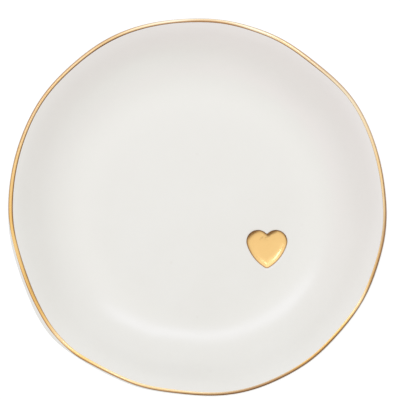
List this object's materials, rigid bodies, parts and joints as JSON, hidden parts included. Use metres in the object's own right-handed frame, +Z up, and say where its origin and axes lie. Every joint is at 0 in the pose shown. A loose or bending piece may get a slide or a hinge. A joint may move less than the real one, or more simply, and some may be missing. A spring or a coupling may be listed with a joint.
{
  "type": "ring dish",
  "caption": "Shallow hand-formed ceramic ring dish with an uneven gilded lip, a stamped gilded heart in its floor and a bare foot ring, for rings and trinkets.",
  "frame": {"origin": "on the table under the middle of the dish", "axes": "+Z up; +X to the right and +Y away in the view from above, with the heart at the lower right"},
  "size_m": [0.1098, 0.1094, 0.0171],
  "materials": {
    "glaze": "satin warm white glaze",
    "gold": "polished gold lustre, fired on",
    "bare_clay": "unglazed fired clay"
  },
  "bodies": {
    "root": {"dish_body": "glaze", "rim_gilding": "gold", "heart_gilding": "gold", "foot_ring": "bare_clay"}
  },
  "joints": []
}
